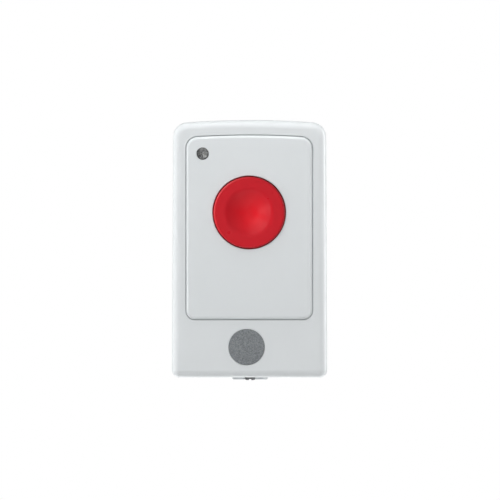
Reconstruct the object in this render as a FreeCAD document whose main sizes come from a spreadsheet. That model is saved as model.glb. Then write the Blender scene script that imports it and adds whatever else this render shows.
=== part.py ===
import FreeCAD, Part
import math
import os

import Sketcher

# A wireless panic button for a wall: a white two-piece case with an arched top, a raised white panel,
# a dished red push button, a clear indicator window and a plain grey badge disc.
# Frame, in millimetres: the wall is the plane Y = 0, the front faces -Y, +Z is up, X = 0 is the middle.
# "Depth" below is the distance from the wall, so a depth of 6 is Y = -6.

os.makedirs("parts", exist_ok=True)
doc = FreeCAD.newDocument("panic_button")
V = FreeCAD.Vector
Rule = Sketcher.Constraint

# ---------------------------------------------------------------- driving sizes
SIZES = [
    # the case's outline, seen from the front
    ("half_foot", 26.7, "half width at the foot"),
    ("half_top", 26.3, "half width at the shoulders"),
    ("crown", 44.3, "height of the arched top above the middle"),
    ("foot", 44.2, "drop of the foot below the middle"),
    ("arch", 300.0, "radius of the arched top"),
    ("corner_top", 5.0, "corner radius at the shoulders"),
    ("corner_foot", 2.6, "corner radius at the foot"),
    # the case in depth
    ("part_line", 6.0, "depth where the two shells meet"),
    ("face", 21.0, "depth of the front face"),
    ("draft", 2.0, "draft of the front shell, degrees"),
    ("draft_rear", 1.5, "draft of the rear shell, degrees"),
    ("face_round", 2.5, "rounding of the front edge"),
    ("rear_round", 0.8, "rounding of the edge at the wall"),
    ("wall", 2.0, "wall thickness"),
    ("front_inner", 18.9, "depth of the inside of the front wall"),
    ("rear_floor", 2.0, "thickness of the rear shell's floor"),
    ("seam", 0.2, "rounding along the seam between the shells"),
    ("rebate", 1.0, "inset of the rebate that takes the lip"),
    ("rebate_end", 8.0, "depth where the rebate ends"),
    ("lip_inset", 1.1, "inset of the lip's outside"),
    ("lip_end", 7.8, "depth of the lip's edge"),
    # the raised panel
    ("panel_half", 21.55, "half width of the panel"),
    ("panel_crown", 38.83, "height of the panel's arched top"),
    ("panel_foot", 24.05, "drop of the panel's foot"),
    ("panel_arch", 292.0, "radius of the panel's arched top"),
    ("panel_corner_top", 4.0, "corner radius at the panel's top"),
    ("panel_corner_foot", 3.0, "corner radius at the panel's foot"),
    ("panel_gap", 0.2, "gap round the panel"),
    ("panel_floor", 20.1, "depth of the recess under the panel"),
    ("panel_face", 21.6, "depth of the panel's face"),
    ("panel_round", 1.2, "rounding of the panel's edge"),
    ("peg_r", 0.9, "radius of the panel's pegs"),
    ("peg_end", 18.3, "depth of the pegs' ends"),
    # the push button
    ("button_x", 0.0, "push button, sideways"),
    ("button_z", 12.45, "push button, height"),
    ("button_hole_r", 12.54, "radius of the hole for the push button"),
    ("cap_r", 12.18, "radius of the cap"),
    ("cap_face", 22.4, "depth of the cap's rim"),
    ("cap_round", 0.7, "rounding of the cap's rim"),
    ("dish_r", 8.1, "radius of the dish"),
    ("bowl_r", 3.4, "radius of the dish's round bottom"),
    ("dish_bowl", 20.69, "depth where the round bottom starts"),
    ("dish_floor", 20.09, "depth of the dish's lowest point"),
    ("dish_round", 4.5, "rounding of the dish's edge"),
    ("cap_under", 19.0, "depth of the cap's underside"),
    ("skirt_inner_r", 10.9, "inner radius of the skirt"),
    ("flange_r", 13.6, "radius of the retaining flange"),
    ("flange_low", 17.7, "depth of the flange's rear side"),
    ("flange_high", 18.7, "depth of the flange's front side"),
    ("stem_r", 2.2, "radius of the cap's stem"),
    ("stem_end", 16.7, "depth of the stem's end"),
    ("seat_inner_r", 7.2, "inner radius of the spring seat"),
    ("seat_outer_r", 8.2, "outer radius of the spring seat"),
    ("collar_inner_r", 13.9, "inner radius of the guide collar"),
    ("collar_outer_r", 15.1, "outer radius of the guide collar"),
    ("collar_end", 15.2, "depth of the collar's edge"),
    ("spring_r", 6.5, "mean radius of the return spring"),
    ("spring_wire", 0.3, "radius of the return spring's wire"),
    ("spring_low", 11.9, "depth of the return spring's first turn"),
    ("spring_rise", 6.7, "rise of the return spring"),
    ("spring_pitch", 1.34, "pitch of the return spring"),
    # the indicator
    ("led_x", 15.88, "indicator, distance left of the middle"),
    ("led_z", 32.52, "indicator, height"),
    ("window_r", 2.08, "radius of the indicator window"),
    ("window_hole_r", 2.1, "radius of its hole in the panel"),
    ("window_flange_r", 2.5, "radius of the window's flange"),
    ("window_face", 21.65, "depth of the window's rim"),
    ("window_top", 21.95, "depth of the window's crown"),
    ("led_r", 1.5, "radius of the lamp"),
    ("led_flange_r", 1.9, "radius of the lamp's flange"),
    ("led_low", 14.6, "depth of the lamp's base"),
    ("led_top", 19.9, "depth of the lamp's tip"),
    # the badge
    ("badge_x", 0.88, "badge, distance left of the middle"),
    ("badge_z", 33.45, "badge, distance below the middle"),
    ("badge_r", 6.12, "radius of the badge"),
    ("badge_hole_r", 6.2, "radius of the badge's recess"),
    ("badge_floor", 20.3, "depth of the badge's recess"),
    ("badge_face", 21.15, "depth of the badge's face"),
    # the case screw, which goes up through the foot
    ("screw_x", 0.2, "case screw, sideways"),
    ("screw_depth", 10.5, "case screw, depth"),
    ("screw_r", 1.35, "radius of its shank"),
    ("screw_head_r", 1.65, "radius of its head"),
    ("screw_head_end", 44.95, "drop of its head's end"),
    ("screw_head_seat", 43.8, "drop of its head's seat"),
    ("screw_tip", 37.8, "drop of its tip"),
    ("lug_half", 6.1, "half width of the lug round the screw"),
    ("lug_end", 44.66, "drop of the lug"),
    # fixing to the wall
    ("wall_hole_r", 2.1, "radius of the wall screw holes"),
    ("wall_hole_z", 28.0, "wall screw holes, distance from the middle"),
    ("wall_boss_r", 4.2, "radius of the ring round each hole"),
    ("wall_boss_end", 3.2, "depth of that ring's face"),
    # the circuit board
    ("board_half", 21.8, "half width of the circuit board"),
    ("board_top", 38.2, "top of the board"),
    ("board_foot", 35.5, "drop of the board's foot"),
    ("board_low", 10.0, "depth of the board's rear side"),
    ("board_high", 11.6, "depth of the board's front side"),
    ("board_screw_r", 1.1, "radius of the board screws"),
    ("board_boss_r", 2.3, "radius of the board's bosses"),
    ("board_head_r", 2.0, "radius of the board screws' heads"),
    # the cell
    ("cell_z", 5.0, "cell, distance below the middle"),
    ("cell_r", 12.25, "radius of the cell"),
    ("cell_low", 4.2, "depth of the cell's positive face"),
    ("cell_high", 9.2, "depth of the cell's negative face"),
    ("holder_inner_r", 12.45, "inner radius of the cell holder"),
    ("holder_outer_r", 13.4, "outer radius of the cell holder"),
    # the key switch under the button
    ("switch_half", 3.0, "half width of the key switch"),
    ("switch_top", 15.0, "depth of the switch base's top"),
    ("plunger_r", 1.7, "radius of the plunger"),
    ("plunger_flange_r", 2.3, "radius of the plunger's flange"),
    ("switch_well_r", 2.5, "radius of the switch's well"),
    ("switch_well_low", 12.0, "depth of the well's floor"),
]

sheet = doc.addObject("Spreadsheet::Sheet", "dims")
for row, (alias, number, note) in enumerate(SIZES, start=1):
    sheet.set(f"A{row}", note)
    sheet.set(f"B{row}", str(number))
    sheet.setAlias(f"B{row}", alias)
doc.recompute()


class Size:
    """A size with its number now and the expression that binds it to the sheet."""

    def __init__(self, number, words):
        self.number = number
        self.words = words

    def joined(self, sign, other, number):
        return Size(number, f"({self.words} {sign} {words_of(other)})")

    def __add__(self, other):
        return self.joined("+", other, self.number + number_of(other))

    def __sub__(self, other):
        return self.joined("-", other, self.number - number_of(other))

    def __radd__(self, other):
        return Size(other + self.number, f"({words_of(other)} + {self.words})")

    def __rsub__(self, other):
        return Size(other - self.number, f"({words_of(other)} - {self.words})")

    def __mul__(self, other):
        return self.joined("*", other, self.number * number_of(other))

    def __truediv__(self, other):
        return self.joined("/", other, self.number / number_of(other))

    def __neg__(self):
        return Size(-self.number, f"(0 - {self.words})")


def number_of(size):
    return size.number if isinstance(size, Size) else float(size)


def words_of(size):
    return size.words if isinstance(size, Size) else repr(float(size))


class Sheet:
    """Each alias of the sheet as a Size."""

    def __init__(self):
        for alias, number, _ in SIZES:
            setattr(self, alias, Size(float(number), "dims." + alias))


d = Sheet()
pieces = []


# ---------------------------------------------------------------- helpers
def bind(thing, field, size):
    if isinstance(size, Size):
        thing.setExpression(field, size.words)


def piece(label):
    body = doc.addObject("PartDesign::Body", label)
    body.Label = label
    body.Placement = FreeCAD.Placement()
    pieces.append(body)
    return body


def plane(body, role):
    return next(f for f in body.Origin.OriginFeatures if f.Role == role)


def sketch(body, name, depth, x=0.0, z=0.0):
    """A sketch that faces the front at a depth, with its own origin at x, z."""
    s = body.newObject("Sketcher::SketchObject", name)
    s.AttachmentSupport = [(plane(body, "XZ_Plane"), "")]
    s.MapMode = "FlatFace"
    s.AttachmentOffset = FreeCAD.Placement(
        V(number_of(x), number_of(z), number_of(depth)), FreeCAD.Rotation()
    )
    bind(s, "AttachmentOffset.Base.x", x)
    bind(s, "AttachmentOffset.Base.y", z)
    bind(s, "AttachmentOffset.Base.z", depth)
    return s


def sketch_up(body, name, z, x=0.0, depth=0.0):
    """A sketch that faces up at a height z, with its own origin at x and a depth."""
    s = body.newObject("Sketcher::SketchObject", name)
    s.AttachmentSupport = [(plane(body, "XY_Plane"), "")]
    s.MapMode = "FlatFace"
    s.AttachmentOffset = FreeCAD.Placement(
        V(number_of(x), -number_of(depth), number_of(z)), FreeCAD.Rotation()
    )
    bind(s, "AttachmentOffset.Base.x", x)
    bind(s, "AttachmentOffset.Base.y", -depth)
    bind(s, "AttachmentOffset.Base.z", z)
    return s


def sketch_section(body, name, x=0.0, z=0.0):
    """A sketch through a front-to-back axis at x, z. Its own horizontal axis is that axis."""
    s = body.newObject("Sketcher::SketchObject", name)
    s.AttachmentSupport = [(plane(body, "YZ_Plane"), "")]
    s.MapMode = "FlatFace"
    s.AttachmentOffset = FreeCAD.Placement(
        V(0.0, number_of(z), number_of(x)), FreeCAD.Rotation()
    )
    bind(s, "AttachmentOffset.Base.y", z)
    bind(s, "AttachmentOffset.Base.z", x)
    return s


def rule(s, kind, *refs, size=None):
    """Adds one constraint, bound to the sheet where its size is."""
    if size is None:
        return s.addConstraint(Rule(kind, *refs))
    index = s.addConstraint(Rule(kind, *refs, number_of(size)))
    if isinstance(size, Size):
        s.setExpression(f"Constraints[{index}]", size.words)
    return index


def draw_circle(s, radius):
    g = s.addGeometry(Part.Circle(V(0, 0, 0), V(0, 0, 1), number_of(radius)), False)
    rule(s, "Coincident", g, 3, -1, 1)
    rule(s, "Radius", g, size=radius)


def draw_rectangle(s, width, height):
    w, h = number_of(width) / 2, number_of(height) / 2
    at = [V(-w, -h, 0), V(w, -h, 0), V(w, h, 0), V(-w, h, 0)]
    g = [s.addGeometry(Part.LineSegment(at[i], at[(i + 1) % 4]), False) for i in range(4)]
    for i in range(4):
        rule(s, "Coincident", g[i], 2, g[(i + 1) % 4], 1)
    rule(s, "Horizontal", g[0])
    rule(s, "Horizontal", g[2])
    rule(s, "Vertical", g[1])
    rule(s, "Vertical", g[3])
    rule(s, "Symmetric", g[0], 1, g[2], 1, -1, 1)
    rule(s, "DistanceX", g[0], 1, g[0], 2, size=width)
    rule(s, "DistanceY", g[1], 1, g[1], 2, size=height)


def draw_arched(s, half_foot, half_top, foot, crown, arch):
    """A straight foot, two straight sides and an arched top."""
    wb, wt, zf, zc, r = (number_of(v) for v in (half_foot, half_top, foot, crown, arch))
    zt = zc - r + math.sqrt(r * r - wt * wt)
    turn = math.asin(wt / r)
    s.addGeometry(Part.LineSegment(V(-wb, -zf, 0), V(wb, -zf, 0)), False)
    s.addGeometry(Part.LineSegment(V(wb, -zf, 0), V(wt, zt, 0)), False)
    s.addGeometry(
        Part.ArcOfCircle(
            Part.Circle(V(0, zc - r, 0), V(0, 0, 1), r),
            math.pi / 2 - turn,
            math.pi / 2 + turn,
        ),
        False,
    )
    s.addGeometry(Part.LineSegment(V(-wt, zt, 0), V(-wb, -zf, 0)), False)
    for a, b in ((0, 1), (1, 2), (2, 3), (3, 0)):
        rule(s, "Coincident", a, 2, b, 1)
    rule(s, "Symmetric", 0, 1, 0, 2, -2)
    rule(s, "Symmetric", 1, 2, 3, 1, -2)
    rule(s, "DistanceX", 0, 1, 0, 2, size=half_foot * 2)
    rule(s, "DistanceX", 3, 1, 1, 2, size=half_top * 2)
    rule(s, "DistanceY", 0, 1, -1, 1, size=foot)
    rule(s, "Radius", 2, size=arch)
    rule(s, "DistanceY", 2, 3, -1, 1, size=arch - crown)


def draw_rounded(s, half_foot, half_top, foot, crown, arch, r_top, r_foot):
    """The same outline with its corners rounded. Four construction points keep the sharp corners."""
    wb, wt, zf, zc, big = (number_of(v) for v in (half_foot, half_top, foot, crown, arch))
    rt, rf = number_of(r_top), number_of(r_foot)
    zt = zc - big + math.sqrt(big * big - wt * wt)
    long = math.hypot(wt - wb, zt + zf)
    ux, uz = (wt - wb) / long, (zt + zf) / long
    nx, nz = -uz, ux
    # the foot corner's centre is rf inside both the side and the foot
    t = (rf - rf * nz) / uz
    fx, fz = wb + t * ux + rf * nx, -zf + rf
    # the shoulder's centre is rt inside the side and rt inside the arch
    ox, oz = wb + rt * nx, -zf + rt * nz - (zc - big)
    half_b = ox * ux + oz * uz
    t = -half_b + math.sqrt(half_b**2 - (ox**2 + oz**2 - (big - rt) ** 2))
    sx, sz = wb + t * ux + rt * nx, -zf + t * uz + rt * nz
    side = math.atan2(-nz, -nx)
    up = math.atan2(sz - (zc - big), sx)
    z = V(0, 0, 1)
    low, high = V(fx - rf * nx, fz - rf * nz, 0), V(sx - rt * nx, sz - rt * nz, 0)
    s.addGeometry(Part.LineSegment(V(-fx, -zf, 0), V(fx, -zf, 0)), False)
    s.addGeometry(Part.ArcOfCircle(Part.Circle(V(fx, fz, 0), z, rf), -math.pi / 2, side), False)
    s.addGeometry(Part.LineSegment(low, high), False)
    s.addGeometry(Part.ArcOfCircle(Part.Circle(V(sx, sz, 0), z, rt), side, up), False)
    s.addGeometry(
        Part.ArcOfCircle(Part.Circle(V(0, zc - big, 0), z, big), up, math.pi - up), False
    )
    s.addGeometry(
        Part.ArcOfCircle(Part.Circle(V(-sx, sz, 0), z, rt), math.pi - up, math.pi - side), False
    )
    s.addGeometry(Part.LineSegment(V(-high.x, high.y, 0), V(-low.x, low.y, 0)), False)
    s.addGeometry(
        Part.ArcOfCircle(Part.Circle(V(-fx, fz, 0), z, rf), math.pi - side, 1.5 * math.pi), False
    )
    for a in range(8):
        rule(s, "Tangent", a, 2, (a + 1) % 8, 1)
    for x, y in ((-wb, -zf), (wb, -zf), (wt, zt), (-wt, zt)):
        s.addGeometry(Part.Point(V(x, y, 0)), True)
    for point, a, b in ((8, 0, 6), (9, 0, 2), (10, 2, 4), (11, 6, 4)):
        rule(s, "PointOnObject", point, 1, a)
        rule(s, "PointOnObject", point, 1, b)
    rule(s, "Symmetric", 8, 1, 9, 1, -2)
    rule(s, "Symmetric", 10, 1, 11, 1, -2)
    rule(s, "DistanceX", 8, 1, 9, 1, size=half_foot * 2)
    rule(s, "DistanceX", 11, 1, 10, 1, size=half_top * 2)
    rule(s, "DistanceY", 8, 1, -1, 1, size=foot)
    rule(s, "DistanceY", 4, 3, -1, 1, size=arch - crown)
    rule(s, "Radius", 4, size=arch)
    for g, radius in ((1, r_foot), (7, r_foot), (3, r_top), (5, r_top)):
        rule(s, "Radius", g, size=radius)


def draw_section(s, points, arcs=()):
    """A closed section of a turned piece, as (depth, radius) corners in order. The side that starts at
    a corner listed in arcs is an arc about a centre on the axis, and the others are straight."""
    at = [V(-number_of(q[0]), number_of(q[1]), 0) for q in points]
    count = len(at)
    for i in range(count):
        a, b = at[i], at[(i + 1) % count]
        if i in arcs:
            # the centre on the axis is as far from a as from b
            c = (a.x**2 + a.y**2 - b.x**2 - b.y**2) / (2 * (a.x - b.x))
            radius = math.hypot(a.x - c, a.y)
            ta, tb = math.atan2(a.y, a.x - c), math.atan2(b.y, b.x - c)
            low, high = min(ta, tb), max(ta, tb)
            s.addGeometry(
                Part.ArcOfCircle(Part.Circle(V(c, 0, 0), V(0, 0, 1), radius), low, high),
                False,
            )
        else:
            s.addGeometry(Part.LineSegment(a, b), False)

    def end(i, first):
        """Which end of side i is its first or last corner: an arc runs the other way where it falls."""
        if i not in arcs:
            return 1 if first else 2
        a, b = at[i], at[(i + 1) % count]
        c = (a.x**2 + a.y**2 - b.x**2 - b.y**2) / (2 * (a.x - b.x))
        rising = math.atan2(a.y, a.x - c) < math.atan2(b.y, b.x - c)
        return (1 if first else 2) if rising else (2 if first else 1)

    for i in range(count):
        j = (i + 1) % count
        rule(s, "Coincident", i, end(i, False), j, end(j, True))
    for i in range(count):
        depth, radius = points[i]
        rule(s, "DistanceX", i, end(i, True), -1, 1, size=depth)
        if number_of(radius) == 0:
            rule(s, "PointOnObject", i, end(i, True), -1)
        else:
            rule(s, "DistanceY", -1, 1, i, end(i, True), size=radius)
        if i in arcs:
            rule(s, "PointOnObject", i, 3, -1)


def pad(body, name, s, length, to_wall=False, draft=None):
    f = body.newObject("PartDesign::Pad", name)
    f.Profile = s
    f.Length = number_of(length)
    bind(f, "Length", length)
    f.Reversed = to_wall
    if draft is not None:
        f.TaperAngle = -number_of(draft)
        bind(f, "TaperAngle", -draft)
    body.Tip = f
    return f


def pocket(body, name, s, length, reverse=False):
    f = body.newObject("PartDesign::Pocket", name)
    f.Profile = s
    f.Length = number_of(length)
    bind(f, "Length", length)
    f.Reversed = reverse
    body.Tip = f
    return f


def turn(body, name, s):
    f = body.newObject("PartDesign::Revolution", name)
    f.Profile = s
    f.ReferenceAxis = (s, ["H_Axis"])
    f.Angle = 360
    body.Tip = f
    return f


def fillet(body, name, base, edges, radius):
    if not edges:
        raise RuntimeError(f"{name} has no edges")
    f = body.newObject("PartDesign::Fillet", name)
    f.Base = (base, edges)
    f.Radius = number_of(radius)
    bind(f, "Radius", radius)
    body.Tip = f
    doc.recompute()
    return f


def chamfer(body, name, base, edges, size):
    if not edges:
        raise RuntimeError(f"{name} has no edges")
    f = body.newObject("PartDesign::Chamfer", name)
    f.Base = (base, edges)
    f.Size = number_of(size)
    bind(f, "Size", size)
    body.Tip = f
    doc.recompute()
    return f


def edges_of(feature, test):
    """The feature's edges that pass a test of their bounding box."""
    doc.recompute()
    if feature.Shape.isNull() or "Invalid" in feature.State:
        raise RuntimeError(f"{feature.Label} failed: {feature.State}")
    return [f"Edge{i}" for i, e in enumerate(feature.Shape.Edges, 1) if test(e, e.BoundBox)]


def corners(feature, low, high, where):
    """Edges that run from front to back between two depths, where(x, z) is true."""
    lo, hi = number_of(low), number_of(high)

    def test(e, b):
        return (
            abs(-b.YMax - lo) < 0.06
            and abs(-b.YMin - hi) < 0.06
            and b.XLength < 0.9
            and b.ZLength < 0.9
            and where((b.XMin + b.XMax) / 2, (b.ZMin + b.ZMax) / 2)
        )

    return edges_of(feature, test)


def rim(feature, depth, where=lambda b: True):
    """Edges that lie flat at one depth."""
    at = -number_of(depth)

    def test(e, b):
        return abs(b.YMin - at) < 0.02 and abs(b.YMax - at) < 0.02 and where(b)

    return edges_of(feature, test)


def ring(radius, x=0.0, z=0.0):
    """Tells a circle of this radius about x, z from its bounding box."""
    r, cx, cz = number_of(radius), number_of(x), number_of(z)

    def test(b):
        return (
            abs(b.XLength - 2 * r) < 0.05
            and abs((b.XMin + b.XMax) / 2 - cx) < 0.05
            and abs((b.ZMin + b.ZMax) / 2 - cz) < 0.05
        )

    return test


def block(body, name, x, z, width, height, low, high):
    """Adds a block between two depths."""
    s = sketch(body, name + "Sketch", low, x, z)
    draw_rectangle(s, width, height)
    return pad(body, name, s, high - low)


def rod(body, name, x, z, radius, low, high, inner=None):
    """Adds a round rod or tube between two depths."""
    s = sketch(body, name + "Sketch", low, x, z)
    draw_circle(s, radius)
    if inner is not None:
        draw_circle(s, inner)
    return pad(body, name, s, high - low)


def cut_block(body, name, x, z, width, height, low, high):
    s = sketch(body, name + "Sketch", high, x, z)
    draw_rectangle(s, width, height)
    return pocket(body, name, s, high - low)


def cut_rod(body, name, x, z, radius, low, high):
    s = sketch(body, name + "Sketch", high, x, z)
    draw_circle(s, radius)
    return pocket(body, name, s, high - low)


def mirror(body, name, features):
    """Repeats features on the other side of X = 0."""
    f = body.newObject("PartDesign::Mirrored", name)
    f.Originals = features
    f.MirrorPlane = (plane(body, "YZ_Plane"), [""])
    body.Tip = f
    return f


def repeat(body, name, feature, axis, count, pitch):
    """A row of a feature along its sketch's own H or V axis."""
    f = body.newObject("PartDesign::LinearPattern", name)
    f.Originals = [feature]
    f.Direction = (feature.Profile[0], [axis])
    f.Mode = "Spacing"
    f.Offset = pitch
    f.Occurrences = count
    body.Tip = f
    return f


def coil(body, name, s, pitch, rise, reverse=True):
    f = body.newObject("PartDesign::AdditiveHelix", name)
    f.Profile = s
    f.ReferenceAxis = (s, ["H_Axis"])
    f.Mode = "pitch-height-angle"
    f.Pitch = number_of(pitch)
    bind(f, "Pitch", pitch)
    f.Height = number_of(rise)
    bind(f, "Height", rise)
    f.Reversed = reverse
    body.Tip = f
    return f


def wire_end(s, along, radius, wire):
    """The round section of a coil's wire, at a distance along the axis and out from it."""
    g = s.addGeometry(
        Part.Circle(V(number_of(along), number_of(radius), 0), V(0, 0, 1), number_of(wire)), False
    )
    rule(s, "Radius", g, size=wire)
    rule(s, "DistanceY", -1, 1, g, 3, size=radius)
    if number_of(along) < 0:
        rule(s, "DistanceX", g, 3, -1, 1, size=-along)
    elif number_of(along) > 0:
        rule(s, "DistanceX", -1, 1, g, 3, size=along)
    else:
        rule(s, "PointOnObject", g, 3, -2)


def case_outline(body, name, depth):
    """The case's outline with sharp corners, which fillets round once it has its draft."""
    s = sketch(body, name, depth)
    draw_arched(s, d.half_foot, d.half_top, d.foot, d.crown, d.arch)
    return s


def case_inset(body, name, depth, inset):
    """The case's outline drawn in by an even inset, with its corners rounded."""
    s = sketch(body, name, depth)
    draw_rounded(
        s,
        d.half_foot - inset,
        d.half_top - inset,
        d.foot - inset,
        d.crown - inset,
        d.arch - inset,
        d.corner_top - inset,
        d.corner_foot - inset,
    )
    return s


at_top = lambda x, z: z > 20
at_foot = lambda x, z: z < -20
led_at = -d.led_x
badge_at_x = -d.badge_x
badge_at_z = -d.badge_z
pegs = [(-19.0, 20.0), (19.0, 24.0), (-18.0, -20.0), (18.0, -20.0)]
board_screws = [(-18.5, -29.0), (18.5, -29.0), (18.5, 31.5), (-18.5, 2.0)]

# ---------------------------------------------------------------- front shell
b = piece("front_cover")
s = case_outline(b, "CaseOutline", d.part_line)
f = pad(b, "CaseBlock", s, d.face - d.part_line, draft=d.draft)
f = fillet(b, "Shoulders", f, corners(f, d.part_line, d.face, at_top), d.corner_top)
f = fillet(b, "FootCorners", f, corners(f, d.part_line, d.face, at_foot), d.corner_foot)
f = fillet(b, "FaceRound", f, rim(f, d.face), d.face_round)
f = fillet(b, "SeamFront", f, rim(f, d.part_line), d.seam)
# the lug round the case screw, under the foot
f = block(b, "Lug", d.screw_x, -(d.lug_end + 42.6) / 2, d.lug_half * 2, d.lug_end - 42.6, 7.4, 13.6)
f = chamfer(
    b,
    "LugEnds",
    f,
    corners(f, 7.4, 13.6, lambda x, z: z < -44.3),
    0.4,
)
# the hollow, with a rebate for the rear shell's lip
s = case_inset(b, "HollowOutline", d.front_inner, d.wall)
f = pocket(b, "Hollow", s, d.front_inner - d.part_line)
s = case_inset(b, "RebateOutline", d.rebate_end, d.rebate)
f = pocket(b, "Rebate", s, d.rebate_end - d.part_line)
# the recess that the panel sits in
s = sketch(b, "RecessOutline", d.face + 1.0)
draw_rounded(
    s,
    d.panel_half + d.panel_gap,
    d.panel_half + d.panel_gap,
    d.panel_foot + d.panel_gap,
    d.panel_crown + d.panel_gap,
    d.panel_arch + d.panel_gap,
    d.panel_corner_top + d.panel_gap,
    d.panel_corner_foot + d.panel_gap,
)
f = pocket(b, "Recess", s, d.face + 1.0 - d.panel_floor)
f = fillet(b, "RecessEdge", f, rim(f, d.face, lambda q: q.XMax < 22.0 and q.XMin > -22.0), 0.12)
f = cut_rod(b, "BadgeRecess", badge_at_x, badge_at_z, d.badge_hole_r, d.badge_floor, d.face + 1.0)
f = fillet(b, "BadgeEdge", f, rim(f, d.face, ring(d.badge_hole_r, badge_at_x, badge_at_z)), 0.12)
f = cut_rod(b, "ButtonHole", d.button_x, d.button_z, d.button_hole_r, 18.0, d.face)
f = cut_rod(b, "LampHole", led_at, d.led_z, d.window_flange_r + 0.1, 18.0, d.face)
for i, (x, z) in enumerate(pegs):
    f = cut_rod(b, f"PegHole{i}", x, z, d.peg_r + 0.1, 18.0, d.face)
# the collar that guides the button, with two keys that stop it turning
f = rod(
    b,
    "Collar",
    d.button_x,
    d.button_z,
    d.collar_outer_r,
    d.collar_end,
    d.front_inner + 0.1,
    inner=d.collar_inner_r,
)
f = block(b, "KeyUpper", d.button_x, d.button_z + 13.7, 1.6, 0.9, d.collar_end, d.front_inner + 0.1)
f = block(b, "KeyLower", d.button_x, d.button_z - 13.7, 1.6, 0.9, d.collar_end, d.front_inner + 0.1)
# bosses for the board's screws
for i, (x, z) in enumerate(board_screws):
    f = rod(b, f"BoardBoss{i}", x, z, d.board_boss_r, d.board_high, d.front_inner + 0.1)
    f = cut_rod(b, f"BoardBossHole{i}", x, z, d.board_screw_r, d.board_high - 0.5, 17.4)
# ribs that place the board sideways
for i, z in enumerate((20.0, -18.0)):
    f = block(b, f"BoardRib{i}", 23.35, z, 2.3, 1.2, 9.0, d.front_inner + 0.1)
    f = mirror(b, f"BoardRibPair{i}", [f])
# pockets in the top wall for the rear shell's two tongues
f = cut_block(b, "TonguePocket", 10.5, 42.1, 4.2, 1.2, 8.1, 9.7)
f = mirror(b, "TonguePocketPair", [f])
# the hole for the case screw, through the foot
s = sketch_up(b, "ScrewHoleSketch", -46.0, d.screw_x, d.screw_depth)
draw_circle(s, d.screw_r + 0.15)
f = pocket(b, "ScrewHole", s, 4.6, reverse=True)
s = sketch_up(b, "ScrewSeatSketch", -46.0, d.screw_x, d.screw_depth)
draw_circle(s, d.screw_head_r + 0.15)
f = pocket(b, "ScrewSeat", s, -d.screw_head_seat + 46.0, reverse=True)
# the notch that leaves the screw's head open to the front
f = cut_block(b, "ScrewNotch", d.screw_x, -44.9, 3.6, 2.2, d.screw_depth, 13.6)

# ---------------------------------------------------------------- rear shell
b = piece("back_cover")
s = case_outline(b, "CaseOutline", d.part_line)
f = pad(b, "CaseBlock", s, d.part_line, to_wall=True, draft=d.draft_rear)
f = fillet(b, "Shoulders", f, corners(f, 0.0, d.part_line, at_top), d.corner_top)
f = fillet(b, "FootCorners", f, corners(f, 0.0, d.part_line, at_foot), d.corner_foot)
f = fillet(b, "WallRound", f, rim(f, 0.0), d.rear_round)
f = fillet(b, "SeamRear", f, rim(f, d.part_line), d.seam)
s = case_inset(b, "LipOutline", d.part_line - 0.5, d.lip_inset)
f = pad(b, "Lip", s, d.lip_end - d.part_line + 0.5)
s = case_inset(b, "HollowOutline", d.lip_end, d.wall)
f = pocket(b, "Hollow", s, d.lip_end - d.rear_floor)
# the wall screw holes, each in a raised ring
for i, up in enumerate((1.0, -1.0)):
    z = d.wall_hole_z * up
    f = rod(b, f"HoleRing{i}", 0.0, z, d.wall_boss_r, d.rear_floor - 0.1, d.wall_boss_end)
    f = cut_rod(b, f"WallHole{i}", 0.0, z, d.wall_hole_r, -0.5, d.wall_boss_end + 0.5)
# long ribs that stiffen the floor
f = block(b, "FloorRib", 15.5, 0.0, 1.0, 62.0, d.rear_floor - 0.1, 3.4)
f = mirror(b, "FloorRibPair", [f])
f = block(b, "CrossRibUpper", 0.0, 15.0, 30.4, 1.0, d.rear_floor - 0.1, 3.0)
f = block(b, "CrossRibLower", 0.0, -18.0, 30.4, 1.0, d.rear_floor - 0.1, 3.0)
# two tongues that hook into the front shell's top wall
f = block(b, "Tongue", 10.5, 40.85, 3.6, 1.5, d.rear_floor - 0.1, 9.3)
f = mirror(b, "TonguePair", [f])
f = block(b, "Nub", 10.5, 41.9, 3.6, 1.0, 8.3, 9.3)
f = mirror(b, "NubPair", [f])
# the boss that takes the case screw
f = block(b, "ScrewBoss", d.screw_x, -39.1, 7.2, 5.5, d.rear_floor - 0.1, 13.2)
f = fillet(b, "ScrewBossRound", f, corners(f, d.rear_floor, 13.2, lambda x, z: z > -37.0 and abs(x) < 5), 1.2)
s = sketch_up(b, "ScrewBossHoleSketch", -42.5, d.screw_x, d.screw_depth)
draw_circle(s, d.screw_r + 0.02)
f = pocket(b, "ScrewBossHole", s, 5.4, reverse=True)

# ---------------------------------------------------------------- raised panel
b = piece("fascia_plate")
s = sketch(b, "PanelOutline", d.panel_floor)
draw_rounded(
    s,
    d.panel_half,
    d.panel_half,
    d.panel_foot,
    d.panel_crown,
    d.panel_arch,
    d.panel_corner_top,
    d.panel_corner_foot,
)
f = pad(b, "Panel", s, d.panel_face - d.panel_floor)
f = fillet(b, "PanelRound", f, rim(f, d.panel_face), d.panel_round)
f = cut_rod(b, "ButtonHole", d.button_x, d.button_z, d.button_hole_r, 19.0, d.panel_face + 0.5)
f = fillet(b, "ButtonHoleEdge", f, rim(f, d.panel_face, ring(d.button_hole_r, d.button_x, d.button_z)), 0.25)
f = cut_rod(b, "WindowHole", led_at, d.led_z, d.window_hole_r, 19.0, d.panel_face + 0.5)
f = fillet(b, "WindowHoleEdge", f, rim(f, d.panel_face, ring(d.window_hole_r, led_at, d.led_z)), 0.15)
for i, (x, z) in enumerate(pegs):
    f = rod(b, f"Peg{i}", x, z, d.peg_r, d.peg_end, d.panel_floor + 0.2)

# ---------------------------------------------------------------- badge, bare
b = piece("badge_disc")
f = rod(b, "Disc", badge_at_x, badge_at_z, d.badge_r, d.badge_floor, d.badge_face)
f = fillet(b, "DiscEdge", f, rim(f, d.badge_face), 0.15)

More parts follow.
